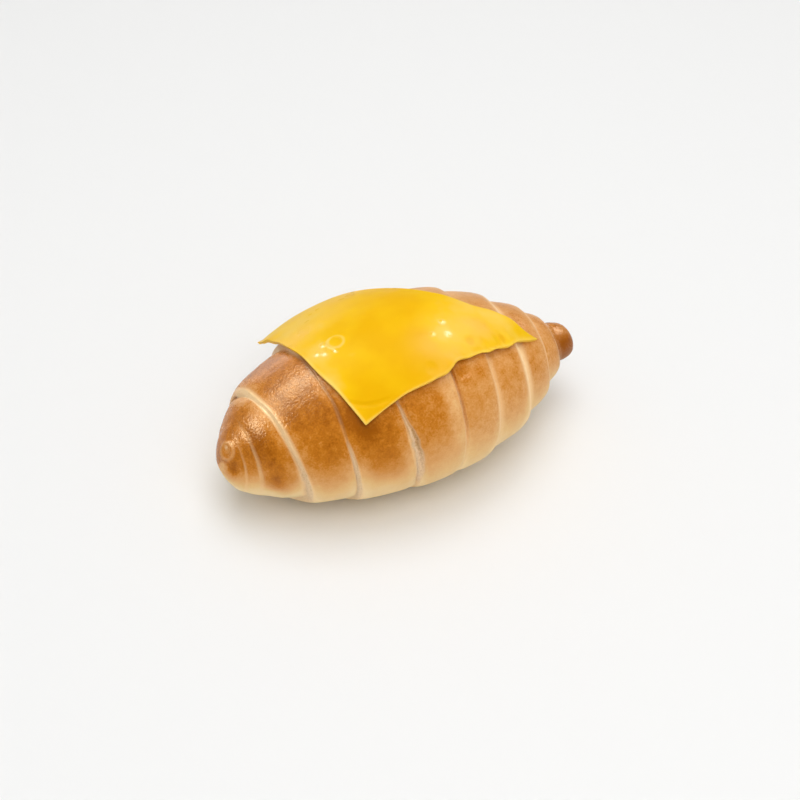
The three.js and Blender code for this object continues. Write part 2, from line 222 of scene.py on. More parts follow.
# bread roll: a strip of dough rolled up from the middle;
# each seam crosses the crest at a place and leans along the roll
rollSettings = {
    "sizes": {
        "Half Length": 75.5, "Half Width": 41.5, "Crest Height": 62.5,
        "Middle Roundness": 0.8, "End Roundness": 0.92,
        "Nose Height": 23.5, "Tail Height": 24.5, "Nose Taper": 0.66, "Tail Taper": 1.02,
        "Knob Length": 9.0, "Knob Radius": 8.8, "Groove Depth": 0.9, "Wide Band": 16.0, "Own Girth": 0.36,
        "Seam Turn": 0.34, "End Rounding": 2.0, "Nose Plain": 0.15, "Nose From": -66.0, "Nose To": -58.0,
        "Lump Size": 24.0, "Lump Height": 0.5, "Blister Size": 3.0, "Blister Height": 0.1, "Seed": 4.0,
    },
    "outline": ("Half Length", "Half Width", "Nose Taper", "Tail Taper", "Knob Length", "Knob Radius"),
    "seams": [  # crest and lean in mm, then stations by turn: pale has half width and strength, tear has depth, half width, offset, crumb and hollow shade (painted shade deep in the split), step has the share of the bands' step kept, bend shifts the seam and shade paints shade along it; a ridge is only drawn on a band and doesn't part it
        # tear has depth, half width, offset, crumb and hollow, step has the share of the bands' step kept,
        # bend shifts the seam and shade darkens it; a ridge is only drawn on a band and doesn't part it
        {"crest": -68.7, "lean": -1, "ridge": True,
         "pale": [(0.0, 0.25, 0.0), (0.1, 0.25, 0.15), (0.2, 0.3, 0.3)]},
        {"crest": -65.6, "lean": 1, "step": [(0.0, 0.1), (0.2, 0.2)],
         "pale": [(-0.05, 0.25, 0.0), (0.08, 0.3, 0.2), (0.2, 0.35, 0.4)]},
        {"crest": -57.6, "lean": 22,
         "step": [(-0.08, 1.0), (-0.02, 0.5), (0.03, 0.45), (0.12, 0.8), (0.2, 1.0)],
         "pale": [(-0.2, 0.5, 0.5), (-0.04, 0.85, 0.9), (0.1, 0.8, 0.75), (0.2, 0.8, 0.7), (0.28, 1.2, 0.85)],
         "tear": [(0.08, 0.0, 0.5, 0.2, 0.0, 0.0), (0.15, 0.3, 0.5, 0.2, 0.2, 0.3),
                  (0.24, 0.5, 0.8, 0.2, 0.7, 0.35), (0.34, 0.4, 0.9, 0.2, 0.7, 0.05),
                  (0.42, 0.0, 0.6, 0.2, 0.2, 0.0)]},
        {"crest": -40.3, "lean": 19,
         "bend": [(-0.14, 5.2), (-0.05, 3.0), (0.08, 2.1), (0.17, 0.4), (0.25, 0.2)],
         "step": [(-0.25, 0.9), (-0.12, 0.8), (-0.03, 0.3), (0.16, 0.3), (0.24, 0.8)],
         "pale": [(-0.2, 1.4, 0.9), (-0.06, 1.0, 0.7), (-0.01, 0.5, 0.1), (0.1, 0.5, 0.1), (0.15, 0.5, 0.15),
                  (0.19, 0.7, 0.4), (0.24, 0.8, 0.75), (0.3, 1.2, 0.85)],
         # painted shadow of the slice's left edge along this seam
         "shade": [(-0.06, 0.0), (0.0, 0.2), (0.09, 0.25), (0.15, 0.0)],
         "tear": [(0.15, 0.0, 0.4, 0.2, 0.0, 0.0), (0.21, 0.5, 0.6, 0.2, 0.6, 0.4),
                  (0.3, 0.5, 0.7, 0.2, 0.7, 0.15), (0.4, 0.0, 0.5, 0.2, 0.2, 0.0)]},
        {"crest": -18.6, "lean": 21, "step": [(0.05, 0.35), (0.12, 0.6), (0.17, 1.0)],
         "pale": [(0.05, 0.6, 0.0), (0.13, 0.8, 0.1), (0.17, 0.9, 0.4), (0.2, 1.5, 0.7), (0.28, 1.6, 0.8),
                  (0.34, 1.0, 0.7)],
         "tear": [(0.1, 0.3, 0.4, 0.0, 0.05, 0.3), (0.15, 0.7, 0.6, 0.3, 0.5, 0.4),
                  (0.2, 1.4, 1.7, 1.3, 1.0, 0.8), (0.235, 1.6, 2.1, 1.5, 1.0, 0.4),
                  (0.27, 1.4, 1.9, 1.1, 1.0, 0.1), (0.3, 0.9, 1.2, -0.2, 1.0, 0.0),
                  (0.34, 0.0, 0.5, -0.9, 0.0, 0.0)]},
        # painted shade in this seam's crease
        {"crest": 8.1, "lean": -8, "shade": [(0.04, 0.3), (0.1, 0.4), (0.18, 0.3), (0.25, 0.0)],
         "pale": [(0.04, 0.4, 0.1), (0.1, 0.7, 0.3), (0.17, 1.0, 0.4), (0.28, 1.1, 0.5)],
         "tear": [(0.03, 0.5, 0.8, 0.5, 0.0, 0.0), (0.1, 1.0, 0.9, 0.6, 0.0, 0.0),
                  (0.2, 0.7, 0.9, 0.5, 0.0, 0.0), (0.3, 0.0, 0.8, 0.2, 0.0, 0.0)]},
        {"crest": 25.9, "lean": -15.5,
         "pale": [(-0.1, 0.8, 0.3), (0.08, 0.8, 0.2), (0.13, 1.3, 0.5), (0.25, 1.6, 0.65)]},
        {"crest": 41.2, "lean": -6, "bend": [(-0.15, 2.4), (0.02, 0.4), (0.1, 0.0)],
         "pale": [(-0.1, 2.0, 0.35), (0.04, 1.8, 0.85), (0.14, 2.0, 0.95), (0.25, 2.0, 0.9)]},
        {"crest": 54.8, "lean": -4.5, "bend": [(-0.15, 1.6), (0.02, 0.2), (0.1, 0.0)],
         "pale": [(-0.1, 1.8, 0.25), (0.02, 1.3, 0.4), (0.1, 1.0, 0.4), (0.25, 0.9, 0.35)]},
        {"crest": 63.3, "lean": 0, "pale": [(0.0, 0.7, 0.2)]},
    ],
    "across": {  # across a seam, in mm or in shares of its width
        "core": 0.35, "leftReach": 1.1, "rightReach": 2.0,  # the pale line fades more slowly on the right
        "shadeOff": 0.4, "shadeReach": 1.4, "besideShift": 0.2, "besideReach": 6.0,
        "ragged": 0.3, "raggedTurns": 0.012, "lip": 0.18,
        "creaseStart": 0.04, "creaseStop": 0.06, "toneCore": 0.3,  # soft ends of wrinkles and tones
    },
    "creases": [  # place in bands, first and last turn, half width and depth of small wrinkles in the skin
        (4.88, 0.1, 0.19, 0.6, 0.4), (5.08, 0.09, 0.2, 0.7, 0.6), (5.93, 0.07, 0.2, 0.5, 0.3),
        (6.12, 0.06, 0.2, 0.5, 0.55), (6.3, 0.1, 0.16, 0.6, 0.25),
    ],
    "tonesAndPaintedLight": [  # place in bands and turns, reach in both, and how much darker or paler the skin is there; some are painted shade by the slice's edges and painted light on the back top
        (0.16, 0.18, 0.2, 0.09, -0.42), (0.58, 0.19, 0.25, 0.07, 0.2), (0.5, 0.06, 0.3, 0.07, -0.1),
        (2.25, 0.14, 0.5, 0.12, 0.12), (3.2, 0.04, 0.25, 0.12, 0.1), (2.2, 0.26, 0.4, 0.06, 0.22),
        (2.6, -0.1, 0.4, 0.09, -0.15), (2.5, 0.26, 0.5, 0.08, 0.22), (4.05, 0.06, 0.3, 0.05, -0.2),
        # 4.16, 4.34 and 4.55 are painted shade under the slice's left edge, 6.25 painted shade under its
        # front edge, 7.0 painted light on the back top
        (4.16, 0.13, 0.26, 0.035, 0.12), (4.34, 0.15, 0.3, 0.04, 0.12), (4.55, 0.165, 0.35, 0.05, 0.04),
        (6.25, 0.115, 0.3, 0.025, 0.15), (7.0, -0.05, 1.4, 0.1, -0.12), (4.5, 0.235, 0.4, 0.06, 0.14),
        (5.88, 0.13, 0.22, 0.06, -0.2), (5.86, 0.19, 0.25, 0.06, -0.15),
    ],
    "bumps": [  # place, ring radius, reach and height: the round nose and its swirl, then dents by the slice
        ((-76.0, 0.0, 24.0), 17.0, 13.0, 0.4), ((-76.0, -6.2, 28.4), 15.2, 2.6, -0.2),
        ((-75.0, -3.0, 30.0), 0.0, 13.0, 0.9), ((-71.5, -10.0, 18.5), 0.0, 13.0, 2.2),
        ((-73.0, -3.6, 31.6), 3.2, 1.3, 0.7), ((-73.4, -2.2, 32.8), 0.0, 1.6, 0.8),
        ((-72.4, -9.4, 27.2), 0.0, 3.4, -0.6),
        ((12.2, -27.6, 52.5), 0.0, 2.0, -0.5), ((14.4, -27.0, 52.7), 0.0, 1.6, -0.35),
        ((10.4, -28.2, 52.2), 0.0, 1.4, -0.4), ((13.0, -29.2, 51.4), 0.0, 1.6, 0.3),
    ],
    "paleMarksAndGlint": [  # place, ring radius, reach and share of the paler ring at the nose, and of the pale bead in it, a painted glint
        ((-72.6, -3.8, 31.8), 3.2, 0.9, 0.22), ((-72.6, -2.6, 32.6), 0.0, 1.3, 0.6),
    ],
    "grid": {  # of the flat strip
        "ringGap": 0.5, "leastRings": 8, "crowding": 0.55, "sides": 300,
        "wobble": 0.7, "wobbleTurns": 0.09, "wobbleBands": 0.7, "seamWobble": 0.6,  # seams wander a little
        "steadyFrom": 2.0, "steadyTo": 14.0,  # but not at the two tips
    },
    "skin": {  # joined within merge; relief begins above the flat base, and blisters fade towards a seam
        "merge": 0.004, "flatTo": 0.4, "clearFrom": 5.0, "seamTo": 0.5, "bandFrom": 3.0, "seamBlisters": 0.25,
    },
}


def smoothStep(value, low, high):
    share = min(max((value - low) / (high - low), 0.0), 1.0)
    return share * share * (3 - 2 * share)


def stripRings(ends, grid):  # band, share of it and its width for each ring, closer together at the seams
    rings = []
    for band in range(len(ends) - 1):
        width = ends[band + 1]["crest"] - ends[band]["crest"]
        steps = max(grid["leastRings"], math.ceil(width / grid["ringGap"]))
        for step in range(steps + (band == len(ends) - 2)):
            share = step / steps
            within = share - grid["crowding"] * math.sin(2 * math.pi * share) / (2 * math.pi)
            # a seam lies at the lower of its two bands
            if step == 0 and band > 0 and ends[band]["crest"] < 0:
                rings.append((band - 1, 1.0, ends[band]["crest"] - ends[band - 1]["crest"]))
            else:
                rings.append((band, within, width))
    return rings


def alongSeam(stations, around):  # what a list of stations gives at a turn round the roll
    if around <= stations[0][0]:
        return stations[0][1:]
    for before, after in zip(stations, stations[1:]):
        if around <= after[0]:
            share = smoothStep(around, before[0], after[0])
            return tuple(a + share * (b - a) for a, b in zip(before[1:], after[1:]))
    return stations[-1][1:]


def seamMarks(near, gap, around, shape):  # depth of a split, then its pale, crumb, hollow shade and dark shares: painted shade deep in the split and along the seam, less the paler skin beside it
    wide, strength = alongSeam(near["pale"], around)
    reach = wide * (shape["leftReach"] if gap < 0 else shape["rightReach"])
    seam = strength * (1 - smoothStep(abs(gap), shape["core"] * wide, reach))
    dark = 0.0
    # painted shade along the seam
    if "shade" in near:
        offShade = abs(gap - shape["shadeOff"])
        dark = alongSeam(near["shade"], around)[0] * (1 - smoothStep(offShade, 0.1, shape["shadeReach"]))
    # the skin beside a pale seam is paler too
    dark -= shape["besideShift"] * strength * (1 - smoothStep(abs(gap), 0.0, shape["besideReach"]))
    if "tear" not in near:
        return 0.0, seam, 0.0, 0.0, dark
    depth, half, offset, crumb, hollow = alongSeam(near["tear"], around)
    ragged = shape["ragged"] * noise.noise((around / shape["raggedTurns"], near["crest"], 1.0))
    across = (gap - offset) / half + ragged  # -1 at the left lip, 1 at the right one
    dip = smoothStep(across, -1.0, 0.3) * (1 - smoothStep(across, 0.5, 1.0))
    lip = shape["lip"] * (1 - smoothStep(abs(abs(across) - 1.3), 0.0, 0.5))
    torn = crumb * smoothStep(across, -1.0, -0.5) * (1 - smoothStep(across, 0.75, 1.05))
    # painted shade deep in the split
    below = hollow * smoothStep(across, -0.2, 0.3) * (1 - smoothStep(across, 0.7, 1.0))
    return depth * (dip - lip), seam, torn, below, dark


def doughStrip(settings):  # the flat strip: x counts bands, y is the turn round the roll
    shape, grid = settings["across"], settings["grid"]
    tip = {"lean": 0, "pale": [(0.0, 0.5, 0.0)]}
    halfLength = settings["sizes"]["Half Length"]
    ends = [{"crest": -halfLength, **tip}] + settings["seams"] + [{"crest": halfLength, **tip}]
    rings = stripRings(ends, grid)
    parting = [at for at, line in enumerate(ends) if not line.get("ridge")]
    names = ("crest", "lean", "midCrest", "midLean", "within", "width", "offSeam", "cut", "seam", "torn",
             "hollow", "low", "turn", "tone", "step")
    points, data = [], {name: [] for name in names}
    for band, within, width in rings:
        left, right = ends[band], ends[band + 1]
        turn = band + within
        near = left if within < 0.5 else right
        gap = within * width if within < 0.5 else (within - 1) * width
        first = ends[max(at for at in parting if at <= band)]
        last = ends[min(at for at in parting if at > band)]
        middle = ((first["crest"] + last["crest"]) / 2, (first["lean"] + last["lean"]) / 2)
        crest = left["crest"] + within * width
        girth = last["crest"] - first["crest"]
        inGirth = (crest - first["crest"]) / girth
        steady = smoothStep(halfLength - abs(crest), grid["steadyFrom"], grid["steadyTo"])
        lean = left["lean"] + within * (right["lean"] - left["lean"])
        for side in range(grid["sides"] + 1):
            around = side / grid["sides"] - 0.5
            stray = noise.noise((around / grid["wobbleTurns"], turn * grid["wobbleBands"], 3.0))
            cut, seam, torn, hollow, tone = seamMarks(near, gap + grid["seamWobble"] * stray, around, shape)
            step = alongSeam(near["step"], around)[0] if "step" in near else 1.0
            bends = []
            for line in (left, right, first, last):
                bends.append(alongSeam(line["bend"], around)[0] if "bend" in line else 0.0)
            for place, start, stop, wide, depth in settings["creases"]:
                begun = smoothStep(around, start, start + shape["creaseStart"])
                span = begun * (1 - smoothStep(around, stop - shape["creaseStop"], stop))
                cut += depth * span * (1 - smoothStep(abs(turn - place) * width, 0.0, wide))
            # the skin's own darker and paler patches, and painted shade and light
            for place, turned, reach, arc, shift in settings["tonesAndPaintedLight"]:
                off = math.hypot((turn - place) / reach, (around - turned) / arc)
                tone += shift * (1 - smoothStep(off, shape["toneCore"], 1.0))
            points.append((turn, around, 0.0))
            bent = crest + bends[0] + within * (bends[1] - bends[0]) + grid["wobble"] * stray * steady
            midBent = middle[0] + (bends[2] + bends[3]) / 2
            values = (bent, lean, midBent, middle[1], inGirth, girth, abs(gap), cut, seam, torn,
                      hollow, abs(around), turn, tone, step)
            for name, value in zip(names, values):
                data[name].append(value)
    row = grid["sides"] + 1
    faces = []
    for ring in range(len(rings) - 1):
        for side in range(grid["sides"]):
            corner = ring * row + side
            faces.append((corner, corner + 1, corner + row + 1, corner + row))
    mesh = bpy.data.meshes.new("bread_roll_strip")
    mesh.from_pydata(points, [], faces)
    for name, values in data.items():
        mesh.attributes.new(name, "FLOAT", "POINT").data.foreach_set("value", values)
    print("dough strip:", len(rings), "rings of", grid["sides"])
    return mesh


def outlineTree(settings):  # half width of the smooth spindle at a place along it
    sizes = {"Along": 0.0, **{name: settings["sizes"][name] for name in settings["outline"]}}
    tree = newTree("spindle_outline", sizes, "Float")
    add = partial(addNode, tree)
    given = add("NodeGroupInput").outputs
    share = add("ShaderNodeMath", (given["Along"], given["Half Length"]), operation="DIVIDE")
    square = add("ShaderNodeMath", (share, share), operation="MULTIPLY")
    left = add("ShaderNodeMath", (1.0, square), operation="SUBTRACT")
    body = add("ShaderNodeMath", (left, 0.0), operation="MAXIMUM")
    onNose = add("ShaderNodeMath", (given["Along"], 0.0), operation="LESS_THAN")
    onTail = add("ShaderNodeMath", (1.0, onNose), operation="SUBTRACT")
    tapers = add("ShaderNodeMath", (given["Nose Taper"], given["Tail Taper"]), operation="SUBTRACT")
    taper = add("ShaderNodeMath", (onNose, tapers, given["Tail Taper"]), operation="MULTIPLY_ADD")
    curve = add("ShaderNodeMath", (body, taper), operation="POWER")
    spindle = add("ShaderNodeMath", (curve, given["Half Width"]), operation="MULTIPLY")
    # the knob is half a ball on the right end
    toEnd = add("ShaderNodeMath", (given["Along"], given["Half Length"]), operation="SUBTRACT")
    intoKnob = add("ShaderNodeMath", (toEnd, given["Knob Length"]), operation="DIVIDE")
    knobShare = add("ShaderNodeMath", (intoKnob, 1.0), operation="ADD", use_clamp=True)
    knobSquare = add("ShaderNodeMath", (knobShare, knobShare), operation="MULTIPLY")
    knobLeft = add("ShaderNodeMath", (1.0, knobSquare), operation="SUBTRACT")
    knobRound = add("ShaderNodeMath", (knobLeft,), operation="SQRT")
    knobTail = add("ShaderNodeMath", (knobRound, onTail), operation="MULTIPLY")
    knob = add("ShaderNodeMath", (knobTail, given["Knob Radius"]), operation="MULTIPLY")
    widest = add("ShaderNodeMath", (spindle, knob), operation="MAXIMUM")
    add("NodeGroupOutput", (widest,))
    return tree


def rollTree(settings, material):  # rolls the strip up into the loaf
    outline = outlineTree(settings)
    tree = newTree("roll_up_strip", settings["sizes"], "Geometry")
    add = partial(addNode, tree)
    skin = settings["skin"]
    given = add("NodeGroupInput").outputs
    read = {}
    for name in ("crest", "lean", "midCrest", "midLean", "within", "width", "cut", "offSeam", "step"):
        read[name] = add("GeometryNodeInputNamedAttribute", {"Name": name}, data_type="FLOAT").outputs[0]
    flatPlace = add("GeometryNodeInputPosition")
    around = add("ShaderNodeSeparateXYZ", (flatPlace,)).outputs["Y"]
    # where the point is along the roll, and where its band's middle is
    offCrest = add("ShaderNodeMath", (around,), operation="ABSOLUTE")
    runBack = add("ShaderNodeMapRange", (offCrest, given["Seam Turn"], 0.5, 1.0, 0.0), **softly)
    slant = add("ShaderNodeMath", (around, runBack), operation="MULTIPLY")
    places = []
    for lean, crest in (("lean", "crest"), ("midLean", "midCrest")):
        places.append(add("ShaderNodeMath", (read[lean], slant, read[crest]), operation="MULTIPLY_ADD"))
    along = places[0]
    halves = []
    for spot in places:
        halves.append(add("GeometryNodeGroup", node_tree=outline))
        tree.links.new(spot.outputs[0], halves[-1].inputs["Along"])
        for name in settings["outline"]:
            tree.links.new(given[name], halves[-1].inputs[name])
    # each band keeps some of its own girth and dips at its seams
    girthStep = add("ShaderNodeMath", (halves[1], halves[0]), operation="SUBTRACT")
    own = add("ShaderNodeMath", (girthStep, given["Own Girth"]), operation="MULTIPLY")
    centred = add("ShaderNodeMath", (read["within"], 2.0, -1.0), operation="MULTIPLY_ADD")
    fromMiddle = add("ShaderNodeMath", (centred,), operation="ABSOLUTE")
    crown = add("ShaderNodeMath", (fromMiddle, 4.0), operation="POWER")
    widths = (read["width"], given["Wide Band"])
    bandShare = add("ShaderNodeMath", widths, operation="DIVIDE", use_clamp=True)
    depth = add("ShaderNodeMath", (bandShare, given["Groove Depth"]), operation="MULTIPLY")
    groove = add("ShaderNodeMath", (crown, depth), operation="MULTIPLY")
    banded = add("ShaderNodeMath", (own, groove), operation="SUBTRACT")
    stepped = add("ShaderNodeMath", (banded, read["step"]), operation="MULTIPLY")
    relief = add("ShaderNodeMath", (stepped, read["cut"]), operation="SUBTRACT")
    # the rings run together at the nose, and both tips are rounded off
    offMiddle = add("ShaderNodeMath", (along,), operation="ABSOLUTE")
    toTip = add("ShaderNodeMath", (given["Half Length"], offMiddle), operation="SUBTRACT")
    tipShare = add("ShaderNodeMath", (toTip, given["End Rounding"]), operation="DIVIDE", use_clamp=True)
    tipRound = add("ShaderNodeMath", (tipShare, 0.5), operation="POWER")
    noseRun = (along, given["Nose From"], given["Nose To"], given["Nose Plain"], 1.0)
    banding = add("ShaderNodeMapRange", noseRun, **softly)
    tipBanding = add("ShaderNodeMath", (tipRound, banding), operation="MULTIPLY")
    bulge = add("ShaderNodeMath", (relief, tipBanding, halves[0]), operation="MULTIPLY_ADD")
    half = add("ShaderNodeMath", (bulge, 0.0), operation="MAXIMUM")
    # the section's roundness and height change towards the two ends
    middleRound, endRound = given["Middle Roundness"], given["End Roundness"]
    noseHeight, tailHeight = given["Nose Height"], given["Tail Height"]
    share = add("ShaderNodeMath", (offMiddle, given["Half Length"]), operation="DIVIDE")
    cube = add("ShaderNodeMath", (share, 3.0), operation="POWER")
    rounder = add("ShaderNodeMath", (endRound, middleRound), operation="SUBTRACT")
    roundness = add("ShaderNodeMath", (cube, rounder, middleRound), operation="MULTIPLY_ADD")
    underCrest = add("ShaderNodeMath", (middleRound, given["Half Width"]), operation="MULTIPLY")
    middleHeight = add("ShaderNodeMath", (given["Crest Height"], underCrest), operation="SUBTRACT")
    onNose = add("ShaderNodeMath", (along, 0.0), operation="LESS_THAN")
    endDrop = add("ShaderNodeMath", (noseHeight, tailHeight), operation="SUBTRACT")
    endHeight = add("ShaderNodeMath", (onNose, endDrop, tailHeight), operation="MULTIPLY_ADD")
    droop = add("ShaderNodeMath", (endHeight, middleHeight), operation="SUBTRACT")
    square = add("ShaderNodeMath", (share, share), operation="MULTIPLY")
    axis = add("ShaderNodeMath", (square, droop, middleHeight), operation="MULTIPLY_ADD")
    angle = add("ShaderNodeMath", (around, 2 * math.pi), operation="MULTIPLY")
    sine = add("ShaderNodeMath", (angle,), operation="SINE")
    cosine = add("ShaderNodeMath", (angle,), operation="COSINE")
    sideways = add("ShaderNodeMath", (half, sine), operation="MULTIPLY")
    front = add("ShaderNodeMath", (sideways, -1.0), operation="MULTIPLY")
    halfHigh = add("ShaderNodeMath", (half, roundness), operation="MULTIPLY")
    height = add("ShaderNodeMath", (halfHigh, cosine, axis), operation="MULTIPLY_ADD")
    standing = add("ShaderNodeMath", (height, 0.0), operation="MAXIMUM")
    spot = add("ShaderNodeCombineXYZ", (along, front, standing))
    spotMetres = add("ShaderNodeVectorMath", {0: spot, "Scale": mm}, operation="SCALE")
    rolled = add("GeometryNodeSetPosition", {"Geometry": given["Geometry"], "Position": spotMetres})
    joined = add("GeometryNodeMergeByDistance", {"Geometry": rolled, "Distance": skin["merge"] * mm})
    # soft lumps all over, small blisters on the bands, both gone at the flat base
    here = add("GeometryNodeInputPosition")
    level = add("ShaderNodeSeparateXYZ", (here,)).outputs["Z"]
    span = (skin["flatTo"] * mm, skin["clearFrom"] * mm, 0.0, 1.0)
    clear = add("ShaderNodeMapRange", (level, *span), **softly)
    span = (skin["seamTo"], skin["bandFrom"], skin["seamBlisters"], 1.0)
    onBand = add("ShaderNodeMapRange", (read["offSeam"], *span), **softly)
    heights = []
    for kind, mask in (("Lump", clear), ("Blister", onBand)):
        uneven = softRelief(tree, here, given, kind)
        tall = add("ShaderNodeMath", (uneven, given[kind + " Height"]), operation="MULTIPLY")
        heights.append(add("ShaderNodeMath", (tall, mask), operation="MULTIPLY"))
    swell = add("ShaderNodeMath", tuple(heights), operation="ADD")
    swell = addBumps(tree, here, swell, settings["bumps"])
    swellClear = add("ShaderNodeMath", (swell, clear), operation="MULTIPLY")
    swellMetres = add("ShaderNodeMath", (swellClear, mm), operation="MULTIPLY")
    normal = add("GeometryNodeInputNormal")
    push = add("ShaderNodeVectorMath", {0: normal, "Scale": swellMetres}, operation="SCALE")
    lumpy = add("GeometryNodeSetPosition", {"Geometry": joined, "Offset": push})
    return closeTree(tree, lumpy, material)


crust = crustMaterial(crustLook, rollSettings["paleMarksAndGlint"])
breadRoll = addObject("bread_roll_crust", doughStrip(rollSettings))
makePlain(breadRoll, rollTree(rollSettings, crust), rollSettings["sizes"])
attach(breadRoll, "root")
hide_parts("bread_roll")
print("bread roll rolled up")


# cheese slice: processed cheese, cast in a flat sheet; smooth, soft and a little see-through at its edges
cheeseLook = {
    "deep": "#eab103", "mid": "#f0bd08", "light": "#f4cb5e", "rim": "#ffe48a",
    "patchSize": 11.0, "veilSize": 45.0, "patchShare": 0.6, "deepUnder": 0.55, "lightOver": 1.05,
    "rimHighlights": [("left", 0.45, 0.08), ("front", 0.35, 0.2)],  # painted highlight along the cut edges: side, its share by the tip and further on
    "rimHighlightRun": (8.0, 40.0), "rimHighlightWidth": (0.2, 1.4),
    "scatter": 0.2, "scatterReach": (1.0, 0.75, 0.15), "scatterScale": 1.2, "sheen": 0.36, "sheenRough": 0.4,
    "rough": 0.32, "roughUneven": (-0.05, 0.08), "satinRun": (0.3, 0.7), "gloss": 0.02,
    "meltedRough": -0.22, "meltedGloss": 0.5,  # melted bubbles are glossier than the sheet
}
sliceSettings = {
    "sizes": {
        "Rounds": 3.0, "Rim Crease": 0.5, "Rim Angle": 45.0, "Wave Size": 13.0, "Wave Height": 0.4,
        "Crinkle Size": 5.0, "Crinkle Height": 0.6, "Crinkle Reach": 6.0, "Crinkle From": 34.0,
        "Crinkle Full": 46.0, "Crinkle Fade": 66.0, "Crinkle To": 74.0, "Seed": 7.0,
    },
    "skin": {  # how it is evened out, where its waves stop, which slopes are on top, which way it crinkles
        "merge": 0.001, "evenRounds": 4, "evenShare": 0.5, "wavesFrom": 14.0, "wavesTo": 28.0,
        "topFrom": 0.3, "topTo": 0.65, "crinkleWay": (0.2, -1.0, 0.9),
    },
    "sides": {  # corners of the two sides in view, how far each bows out, and which way out is along the skin
        "front": {"from": (-30.1, -31.8), "to": (50.0, -14.5), "bow": 2.3, "out": (0.211, -0.977, -0.5)},
        "left": {"from": (-30.1, -31.8), "to": (-40.6, 44.9), "bow": 3.2, "out": (-0.991, -0.136, -0.35)},
    },
    "hems": [  # side, place along it, half width, reach into the slice, shift outwards and upwards
        ("front", 29.0, 13.0, 11.0, 1.3, 0.0), ("front", 35.0, 5.0, 7.0, 0.8, 0.1),
        ("front", 42.0, 5.0, 6.0, -0.5, 0.3), ("front", 57.0, 5.0, 6.0, 0.8, 0.0),
        ("front", 65.0, 7.0, 7.0, 1.4, 0.1), ("front", 76.0, 8.0, 8.0, 0.3, -1.0),
        ("front", 24.0, 18.0, 3.5, 0.0, 0.4), ("left", 67.0, 10.0, 12.0, -0.4, 2.0),
        ("left", 78.0, 5.0, 6.0, 0.3, -0.3), ("left", 25.0, 12.0, 8.0, 0.5, 0.0),
        ("left", 48.0, 12.0, 8.0, 0.5, 0.0), ("left", 30.0, 32.0, 1.8, 0.0, 0.2),
    ],
    "corners": [  # place, reach and shift: the left corner is blunt, the right one is drawn out with its side
        ((-40.6, 44.9, 33.1), 11.0, (1.0, -0.65, 1.9)), ((50.0, -14.5, 44.9), 9.0, (1.7, 0.6, -1.3)),
        ((37.5, -7.5, 55.0), 12.0, (1.0, 2.0, 0.15)), ((43.5, -12.0, 50.5), 9.0, (0.8, 1.6, 0.4)),
    ],
    "tip": {  # the tip, and a place further in round which a crease sags
        "place": (-30.1, -31.8, 49.0), "round": (-20.2, -11.9, 60.5), "radius": 17.5,
        "half": 1.5, "depth": 0.4, "reach": 17.0, "fullShare": 0.6,
    },
    "bumps": [  # place, ring radius, reach and height: bubbles on the left and right, dips at the front edge
        ((-25.8, 1.2, 61.3), 3.1, 0.9, 0.1), ((-25.8, 1.2, 61.3), 0.0, 3.4, 0.08),
        ((-30.0, 3.0, 60.2), 0.0, 1.7, 0.2), ((-33.4, 0.3, 59.6), 0.0, 1.7, 0.2),
        ((-31.1, -1.3, 60.0), 0.0, 1.7, 0.2), ((-27.3, -2.6, 60.9), 0.0, 1.4, 0.18),
        ((10.0, -11.5, 62.0), 0.0, 9.0, 0.3), ((13.0, -8.2, 62.6), 0.0, 1.3, 0.16),
        ((6.8, -12.7, 62.5), 0.0, 1.2, 0.16), ((12.4, -14.1, 61.4), 0.0, 1.3, 0.16),
        ((-0.2, -23.9, 58.6), 0.0, 3.0, -0.2), ((19.8, -18.2, 58.6), 0.0, 3.4, -0.2),
        ((33.7, -17.4, 53.7), 0.0, 3.0, -0.2),
    ],
    "glints": [  # place, ring radius, reach and share of the glossy spots, on the bubbles first
        ((-25.8, 1.2, 61.3), 3.1, 1.0, 0.1), ((-30.0, 3.0, 60.2), 0.0, 2.2, 0.6),
        ((-33.4, 0.3, 59.6), 0.0, 2.2, 0.5), ((-31.1, -1.3, 60.0), 0.0, 2.2, 0.5),
        ((-27.3, -2.6, 60.9), 0.0, 1.8, 0.5), ((13.0, -8.2, 62.6), 0.0, 2.2, 0.7),
        ((6.8, -12.7, 62.5), 0.0, 1.8, 0.6), ((12.4, -14.1, 61.4), 0.0, 2.2, 0.7),
        ((-37.0, 11.0, 56.0), 0.0, 17.0, 0.08), ((10.0, -17.0, 61.0), 0.0, 20.0, 0.12),
        ((28.0, -12.0, 58.0), 0.0, 14.0, 0.08),
    ],
    "tonesAndPaintedLight": [  # place, ring radius, reach and how much paler or deeper the cheese is there; the pale back slope is painted sheen, the pale ring on the left bubble and the pale halos round the glints are painted highlights
        ((-29.0, 27.0, 52.0), 0.0, 20.0, 0.6), ((-25.0, -25.0, 54.0), 0.0, 12.0, -0.35),
        ((-25.5, -13.0, 59.3), 0.0, 11.0, -0.35), ((-15.0, -5.5, 63.0), 0.0, 11.0, -0.4),
        ((27.0, -12.0, 58.0), 0.0, 9.0, -0.3), ((5.0, 8.0, 63.5), 0.0, 11.0, -0.35),
        ((-25.5, 1.5, 61.2), 3.1, 1.1, 0.55), ((-30.5, 0.5, 60.0), 0.0, 7.0, 0.3),
        ((10.4, -14.0, 61.6), 0.0, 9.0, 0.4), ((19.4, -18.1, 58.2), 0.0, 2.6, -0.8),
        ((33.5, -17.4, 53.6), 0.0, 2.6, -0.6), ((-0.3, -24.0, 58.3), 0.0, 2.2, -0.6),
    ],
}


